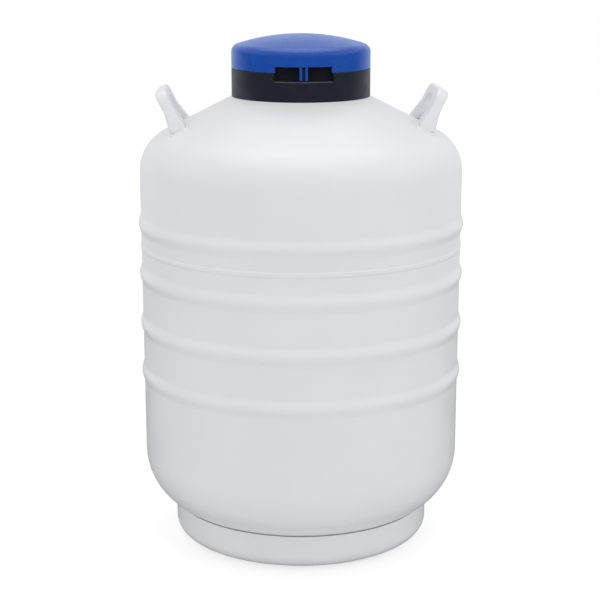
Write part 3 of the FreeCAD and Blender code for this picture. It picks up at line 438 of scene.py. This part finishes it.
def make_lathe_tree():
    tree = new_tree("turn_on_a_lathe", [("Steps Round", "NodeSocketInt", STEPS_ROUND),
                                        ("Finish", "NodeSocketMaterial", None)])
    given = add_node(tree, "NodeGroupInput").outputs
    count = add_node(tree, "GeometryNodeAttributeDomainSize", {"Geometry": given["Geometry"]},
                     component="MESH").outputs["Point Count"]
    columns = calculate(tree, "ADD", given["Steps Round"], 1)
    rows = calculate(tree, "ADD", count, 1)
    grid = add_node(tree, "GeometryNodeMeshGrid", {"Size X": given["Steps Round"], "Size Y": count,
                                                   "Vertices X": columns, "Vertices Y": rows}).outputs["Mesh"]
    spot = add_node(tree, "ShaderNodeSeparateXYZ",
                    {0: add_node(tree, "GeometryNodeInputPosition").outputs[0]}).outputs
    column = calculate(tree, "ADD", spot["X"], calculate(tree, "MULTIPLY", given["Steps Round"], 0.5))
    row = calculate(tree, "ADD", spot["Y"], calculate(tree, "MULTIPLY", count, 0.5))
    wrapped = calculate(tree, "FLOORED_MODULO", calculate(tree, "ROUND", row), count)
    point = add_node(tree, "GeometryNodeSampleIndex",
                     {"Geometry": given["Geometry"], "Index": wrapped,
                      "Value": add_node(tree, "GeometryNodeInputPosition").outputs[0]},
                     data_type="FLOAT_VECTOR", domain="POINT").outputs["Value"]
    outline = add_node(tree, "ShaderNodeSeparateXYZ", {0: point}).outputs
    angle = calculate(tree, "MULTIPLY", calculate(tree, "DIVIDE", column, given["Steps Round"]), 2 * math.pi)
    wrap = add_node(tree, "ShaderNodeCombineXYZ",
                    {"X": calculate(tree, "MULTIPLY", outline["X"], calculate(tree, "COSINE", angle)),
                     "Y": calculate(tree, "MULTIPLY", outline["X"], calculate(tree, "SINE", angle)),
                     "Z": outline["Z"]}).outputs[0]
    placed = add_node(tree, "GeometryNodeSetPosition", {"Geometry": grid, "Position": wrap}).outputs[0]
    closed = add_node(tree, "GeometryNodeMergeByDistance", {"Geometry": placed, "Distance": 1e-6}).outputs[0]
    real = add_node(tree, "GeometryNodeRealizeInstances", {"Geometry": closed}).outputs[0]
    done = add_node(tree, "GeometryNodeSetMaterial",
                    {"Geometry": real, "Material": given["Finish"]}).outputs[0]
    add_node(tree, "NodeGroupOutput", {"Geometry": done})
    return tree


def grow(name, source, tree, values):
    """Run a tree on a source mesh and keep the result as a plain, outward-facing mesh object."""
    base = bpy.data.objects.new(name + "_source", source)
    bpy.context.scene.collection.objects.link(base)
    modifier = base.modifiers.new("tree", "NODES")
    modifier.node_group = tree
    for item in tree.interface.items_tree:
        if item.in_out == "INPUT" and item.name in values:
            modifier[item.identifier] = values[item.name]
    base.update_tag()
    evaluated = base.evaluated_get(bpy.context.evaluated_depsgraph_get())
    mesh = bpy.data.meshes.new_from_object(evaluated)
    bpy.data.objects.remove(base)
    piece = bpy.data.objects.new(name, mesh)
    bpy.context.scene.collection.objects.link(piece)
    shape = bmesh.new()
    shape.from_mesh(mesh)
    bmesh.ops.dissolve_degenerate(shape, dist=1e-7, edges=shape.edges)
    bmesh.ops.recalc_face_normals(shape, faces=shape.faces)
    shape.to_mesh(mesh)
    shape.free()
    mesh.shade_smooth()
    mesh.set_sharp_from_angle(angle=math.radians(SHARP_ANGLE))
    mesh.name = name
    return piece


def outline_mesh(name, points):
    """The outline as a chain of points in the XZ plane, in metres."""
    mesh = bpy.data.meshes.new(name + "_outline")
    places = [(point.x * MM, 0, point.y * MM) for point in points]
    mesh.from_pydata(places, [(step, step + 1) for step in range(len(places) - 1)], [])
    return mesh


lathe_tree = make_lathe_tree()


def turn_piece(name, points, finish, node):
    """Turn an outline, and let it stand for its CAD node."""
    piece = grow(name, outline_mesh(name, points), lathe_tree,
                 {"Steps Round": STEPS_ROUND, "Finish": finish})
    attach(piece, "vessel")
    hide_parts(node)
    print("%-20s %6d faces" % (name, len(piece.data.polygons)))
    return piece


# %% [markdown]
# The two halves of the can are turned now. The upper half is a cylinder with one bead that
# rolls over a wide knuckle into the shoulder cone. The lower half has three beads and ends in
# a deep bowl, which the floor ring carries.

# %% The can
turn_piece("can_upper_half", upper_outline, white_enamel, "upper_shell")
turn_piece("can_lower_half", lower_outline, white_enamel, "lower_shell")

# %% [markdown]
# The floor ring is a shallow spun hoop. Its rounded lip stops just short of the bowl, which
# leaves the thin dark crease of the real joint. Below, it turns under with a generous radius,
# slopes inwards, and stands on a narrow flat foot.

# %% The floor ring
RING_RADIUS = 182.5
RING_WALL = 3.0
RING_CORNER, RING_ROUNDING = 11.0, 20.0
FOOT_RADIUS, FOOT_ROUNDING = 157.0, 8.0
FOOT_WIDTH = 12.0
LIP_ROUNDING = 1.0
CREASE = 1.7


def bowl_level(radius):
    run = radius - BODY_RADIUS + BOWL_RADIUS
    return BOTTOM_LEVEL + BOWL_RADIUS - math.sqrt(BOWL_RADIUS ** 2 - run ** 2)


lip_level = bowl_level(RING_RADIUS) - CREASE
foot_and_wall = rounded([
    (FOOT_RADIUS - FOOT_WIDTH, 0.0, 0),
    (FOOT_RADIUS, 0.0, FOOT_ROUNDING),
    (RING_RADIUS, RING_CORNER, RING_ROUNDING),
    (RING_RADIUS, lip_level - 1.5, 0)])
lip = rounded([
    (RING_RADIUS, lip_level - LIP_ROUNDING, 0),
    (RING_RADIUS, lip_level, LIP_ROUNDING),
    (RING_RADIUS - RING_WALL, lip_level, 0)], turn_step=15)
inner_wall = walled(foot_and_wall, RING_WALL)[len(foot_and_wall):]
ring_outline = foot_and_wall + lip + inner_wall
turn_piece("floor_ring", ring_outline, white_enamel, "base_ring")

# %% [markdown]
# The girth weld joins the halves. It was ground back to a low crown before painting, so it
# reads as a slightly raised, slightly uneven bright band.

# %% The girth weld
SEAM_CROWN = 1.1
SEAM_STEPS = 12
seam_middle = (SEAM_LOW + SEAM_HIGH) / 2
seam_outline = [Vector((BODY_RADIUS - WALL, SEAM_LOW)), Vector((BODY_RADIUS, SEAM_LOW))]
for step in range(1, SEAM_STEPS):
    share = step / SEAM_STEPS * 2 - 1
    seam_outline.append(Vector((BODY_RADIUS + SEAM_CROWN * (1 - share ** 4),
                                seam_middle + share * (SEAM_HIGH - SEAM_LOW) / 2)))
seam_outline += [Vector((BODY_RADIUS, SEAM_HIGH)), Vector((BODY_RADIUS - WALL, SEAM_HIGH))]
turn_piece("girth_weld_bead", seam_outline, white_enamel, "girth_weld")

# %% [markdown]
# The cap, the collar and the inner pieces keep their CAD form, because a CAD node carries the
# exact normals of its surfaces. The handles are castings with soft edges all round, and they
# shade best as one smooth skin. A node's mesh is loose triangles, so a copy is merged and its
# sharp edges are set by angle.

# %% Smooth copies of CAD nodes
CAST_SHARP_ANGLE = 35


def smooth_copy(name, node, body):
    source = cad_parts[node]
    mesh = source.data.copy()
    mesh.name = name
    shape = bmesh.new()
    shape.from_mesh(mesh)
    bmesh.ops.remove_doubles(shape, verts=shape.verts, dist=1e-6)
    shape.to_mesh(mesh)
    shape.free()
    mesh.shade_smooth()
    mesh.set_sharp_from_angle(angle=math.radians(CAST_SHARP_ANGLE))
    piece = bpy.data.objects.new(name, mesh)
    bpy.context.scene.collection.objects.link(piece)
    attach(piece, body)
    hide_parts(node)
    return piece


for name, node in (("lifting_handle_left", "left_handle"), ("lifting_handle_right", "right_handle")):
    piece = smooth_copy(name, node, "vessel")
    print("%-20s %6d faces" % (name, len(piece.data.polygons)))

# %% [markdown]
# Each handle stands on two feet that are welded to the shoulder all the way round. A weld is
# a bead along a path: a rounded rectangle round the foot, dropped square on to the cone. The
# path is worked out point by point, and Geometry Nodes sweep a round bead along it. Half of
# the bead lies in the metal, so what shows is the soft fillet of a painted weld.

# %% The handle welds
HANDLE_RADIUS = 169.6
FOOT_INNER_Y, FOOT_OUTER_Y = 37.0, 69.0
FOOT_THICKNESS = 23.0
FOOT_CORNER = 4.0
WELD_RADIUS = 3.2
WELD_SINK = 1.2
CORNER_STEPS = 6
DROP_ROUNDS = 6
PATH_POINTS, BEAD_SIDES = 96, 16
slope_angle = math.atan(CONE_SLOPE)


def on_the_cone(along, across):
    """The cone's point under a spot along and across the slope, found in a few closer guesses."""
    outward = Vector((math.sin(slope_angle), 0, math.cos(slope_angle)))
    downhill = Vector((math.cos(slope_angle), 0, -math.sin(slope_angle)))
    spot = Vector((HANDLE_RADIUS, across, cone_level(HANDLE_RADIUS))) + downhill * along
    for guess in range(DROP_ROUNDS):
        height = spot.z - cone_level(math.hypot(spot.x, spot.y))
        spot -= outward * height * math.cos(slope_angle)
    return spot - outward * WELD_SINK


def foot_loop(low, high):
    """Points round one foot, corner arcs included."""
    half = FOOT_THICKNESS / 2
    corners = [(half, high), (-half, high), (-half, low), (half, low)]
    points = []
    for place, (along, across) in enumerate(corners):
        centre = Vector((along - math.copysign(FOOT_CORNER, along),
                         across - FOOT_CORNER * (1 if across == high else -1)))
        for step in range(CORNER_STEPS + 1):
            angle = math.radians(90 * (place + step / CORNER_STEPS))
            points.append(centre + FOOT_CORNER * Vector((math.cos(angle), math.sin(angle))))
    return points


def make_weld_tree():
    tree = new_tree("sweep_a_weld_bead", [("Bead Radius", "NodeSocketFloat", 0.003),
                                          ("Finish", "NodeSocketMaterial", None)])
    given = add_node(tree, "NodeGroupInput").outputs
    path = add_node(tree, "GeometryNodeMeshToCurve", {"Mesh": given["Geometry"]}).outputs[0]
    even = add_node(tree, "GeometryNodeResampleCurve", {"Curve": path, "Count": PATH_POINTS},
                    mode="COUNT").outputs[0]
    section = add_node(tree, "GeometryNodeCurvePrimitiveCircle",
                       {"Resolution": BEAD_SIDES, "Radius": given["Bead Radius"]}).outputs[0]
    bead = add_node(tree, "GeometryNodeCurveToMesh", {"Curve": even, "Profile Curve": section}).outputs[0]
    real = add_node(tree, "GeometryNodeRealizeInstances", {"Geometry": bead}).outputs[0]
    done = add_node(tree, "GeometryNodeSetMaterial",
                    {"Geometry": real, "Material": given["Finish"]}).outputs[0]
    add_node(tree, "NodeGroupOutput", {"Geometry": done})
    return tree


weld_tree = make_weld_tree()
for side, name in ((-1, "left"), (1, "right")):
    paths = bpy.data.meshes.new("weld_paths_" + name)
    places, edges = [], []
    for low, high in ((FOOT_INNER_Y, FOOT_OUTER_Y), (-FOOT_OUTER_Y, -FOOT_INNER_Y)):
        loop = [on_the_cone(*point) for point in foot_loop(low, high)]
        first = len(places)
        places += [(side * spot.x * MM, spot.y * MM, spot.z * MM) for spot in loop]
        edges += [(first + step, first + (step + 1) % len(loop)) for step in range(len(loop))]
    paths.from_pydata(places, edges, [])
    weld = grow("handle_welds_" + name, paths, weld_tree,
                {"Bead Radius": WELD_RADIUS * MM, "Finish": white_enamel})
    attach(weld, "vessel")
    print("%-20s %6d faces" % (weld.name, len(weld.data.polygons)))

# %% [markdown]
# The picture was taken against white, under broad soft light from above, so the shoulder is
# brightest and the bowl falls into soft shade. A large overhead panel does most of the work,
# one panel on the right fills, and the world gives a pale surround, a little brighter below.
# The floor is near white to the light and white to the camera, and keeps the object's shadow.
#
# Reflections see something else. The picture's room was dark in front and bright above and
# behind, and the cap and the collar mirror that. So glossy rays meet a surround and a floor
# graded the same way, brightest straight overhead, and the overhead panel is hidden from them.

# %% Studio
def make_floor_material():
    """White to the camera with a soft shadow, pale to the paint, and dark in front in reflections."""
    material, tree, shader, place = new_material("pale_studio_floor", roughness=0.9, ior=1.45)
    shader.inputs["Base Color"].default_value = linear("#F2F2F2")
    shader.inputs["Specular IOR Level"].default_value = 0.0
    ray = add_node(tree, "ShaderNodeLightPath").outputs
    lit = add_node(tree, "ShaderNodeBsdfDiffuse", {"Color": linear("#A2A2A2")})
    glow = add_node(tree, "ShaderNodeEmission", {"Color": (1, 1, 1, 1), "Strength": 0.72})
    white = add_node(tree, "ShaderNodeAddShader", {0: lit.outputs[0], 1: glow.outputs[0]})
    depth = add_node(tree, "ShaderNodeSeparateXYZ", {0: place}).outputs["Y"]
    behind = add_node(tree, "ShaderNodeMapRange",
                      {"Value": depth, "From Min": 0.5, "From Max": 2.0}).outputs["Result"]
    shade = two_tones(tree, behind, "#2C2C2C", "#E8E8E8")
    dim = add_node(tree, "ShaderNodeBsdfDiffuse", {"Color": shade})
    mirrored = add_node(tree, "ShaderNodeMixShader",
                        {0: ray["Is Glossy Ray"], 1: shader.outputs[0], 2: dim.outputs[0]})
    mixed = add_node(tree, "ShaderNodeMixShader",
                     {0: ray["Is Camera Ray"], 1: mirrored.outputs[0], 2: white.outputs[0]})
    tree.links.new(mixed.outputs[0], tree.nodes["Material Output"].inputs["Surface"])
    return material


FLOOR_HALF = 6.0
FLOOR_DROP = 0.0005
floor_corners = [(-FLOOR_HALF, -FLOOR_HALF, 0), (FLOOR_HALF, -FLOOR_HALF, 0),
                 (FLOOR_HALF, FLOOR_HALF, 0), (-FLOOR_HALF, FLOOR_HALF, 0)]
floor_mesh = bpy.data.meshes.new("studio_floor")
floor_mesh.from_pydata(floor_corners, [], [(0, 1, 2, 3)])
floor_mesh.materials.append(make_floor_material())
floor = bpy.data.objects.new("studio_floor", floor_mesh)
floor.location.z = -FLOOR_DROP
bpy.context.scene.collection.objects.link(floor)


def add_panel(name, place, aim, size, watts):
    """A square soft light that faces a point."""
    lamp = bpy.data.lights.new(name, "AREA")
    lamp.size = size
    lamp.energy = watts
    panel = bpy.data.objects.new(name, lamp)
    panel.location = place
    panel.rotation_euler = (Vector(aim) - Vector(place)).to_track_quat("-Z", "Y").to_euler()
    bpy.context.scene.collection.objects.link(panel)
    return panel


OBJECT_MIDDLE = (0, 0, 0.36)
overhead_panel = add_panel("overhead_panel", (0, -0.3, 2.6), OBJECT_MIDDLE, size=2.6, watts=3.5)
overhead_panel.visible_glossy = False
add_panel("right_panel", (2.6, -1.2, 1.4), OBJECT_MIDDLE, size=1.8, watts=3)

world = bpy.data.worlds.new("pale_surround")
bpy.context.scene.world = world
world.use_nodes = True
sky = world.node_tree
outlook = add_node(sky, "ShaderNodeTexCoord").outputs["Generated"]
direction = add_node(sky, "ShaderNodeSeparateXYZ", {0: outlook}).outputs
air = add_node(sky, "ShaderNodeMapRange",
               {"Value": direction["Z"], "From Min": -0.2, "From Max": 1.0,
                "To Min": 0.99, "To Max": 0.84}).outputs["Result"]
above = add_node(sky, "ShaderNodeMapRange",
                 {"Value": direction["Z"], "From Min": 0.1, "From Max": 0.4}).outputs["Result"]
behind = add_node(sky, "ShaderNodeMapRange",
                  {"Value": direction["Y"], "From Min": 0.2, "From Max": 0.8}).outputs["Result"]
bright = calculate(sky, "MAXIMUM", above, behind)
overhead = add_node(sky, "ShaderNodeMapRange",
                    {"Value": direction["Z"], "From Min": 0.7, "From Max": 0.95,
                     "To Min": 0.06, "To Max": 2.2}).outputs["Result"]
mirrored_air = calculate(sky, "MULTIPLY_ADD", bright, 0.75, overhead)
ray = add_node(sky, "ShaderNodeLightPath").outputs
# A Mix node set to plain values takes its two values at sockets 2 and 3.
around = add_node(sky, "ShaderNodeMix", {0: ray["Is Glossy Ray"], 2: air, 3: mirrored_air}).outputs[0]
open_air = add_node(sky, "ShaderNodeMix", {0: ray["Is Camera Ray"], 2: around, 3: 1.0}).outputs[0]
sky.links.new(open_air, sky.nodes["Background"].inputs["Strength"])
sky.nodes["Background"].inputs["Color"].default_value = (1, 1, 1, 1)

bpy.context.scene.view_settings.view_transform = "Standard"
